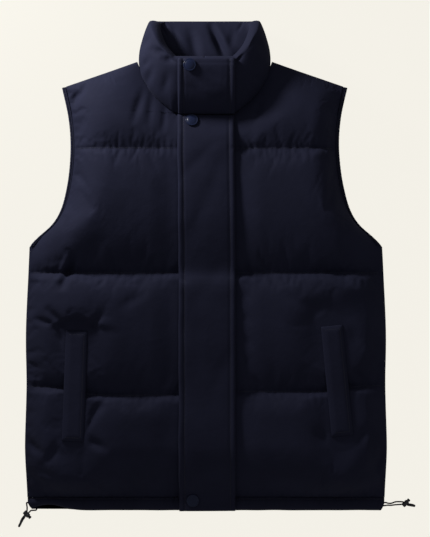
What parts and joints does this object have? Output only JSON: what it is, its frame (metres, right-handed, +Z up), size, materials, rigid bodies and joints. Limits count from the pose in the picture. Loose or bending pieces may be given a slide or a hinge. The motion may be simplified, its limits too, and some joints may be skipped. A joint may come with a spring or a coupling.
{
  "type": "padded vest",
  "caption": "Sleeveless quilted puffer vest laid flat, with a stand-up collar, snap-closed front flap, slanted welt pockets and a hem drawcord.",
  "frame": {"origin": "on the surface it lies on, at the middle of the garment's width and length without its drawcords", "axes": "+Z up out of the front, +Y from the hem to the collar, +X to the viewer's right, which is the wearer's left"},
  "size_m": [0.6429, 0.8143, 0.0938],
  "materials": {
    "shell": "satin nylon",
    "trim": "satin nylon",
    "snap": "gloss",
    "cord": "braided",
    "plastic": "matte"
  },
  "bodies": {
    "root": {"back_panel": "shell", "front_left": "shell", "front_right": "shell", "collar": "shell", "flap_body": "shell", "flap_collar": "shell", "pocket_welt_left": "shell", "pocket_welt_right": "shell", "hem_casing_left": "trim", "hem_casing_right": "trim", "hem_casing_back": "trim", "armhole_binding_front_left": "trim", "armhole_binding_front_right": "trim", "armhole_binding_back_left": "trim", "armhole_binding_back_right": "trim", "snap_cap_collar": "snap", "snap_cap_neck": "snap", "snap_cap_hem": "snap", "drawcord_left_a": "cord", "drawcord_left_b": "cord", "drawcord_left_tail": "cord", "drawcord_right_a": "cord", "drawcord_right_b": "cord", "drawcord_right_tail": "cord", "cord_end_left": "cord", "cord_end_right": "cord", "cord_lock_left": "plastic", "cord_lock_right": "plastic"}
  },
  "joints": []
}
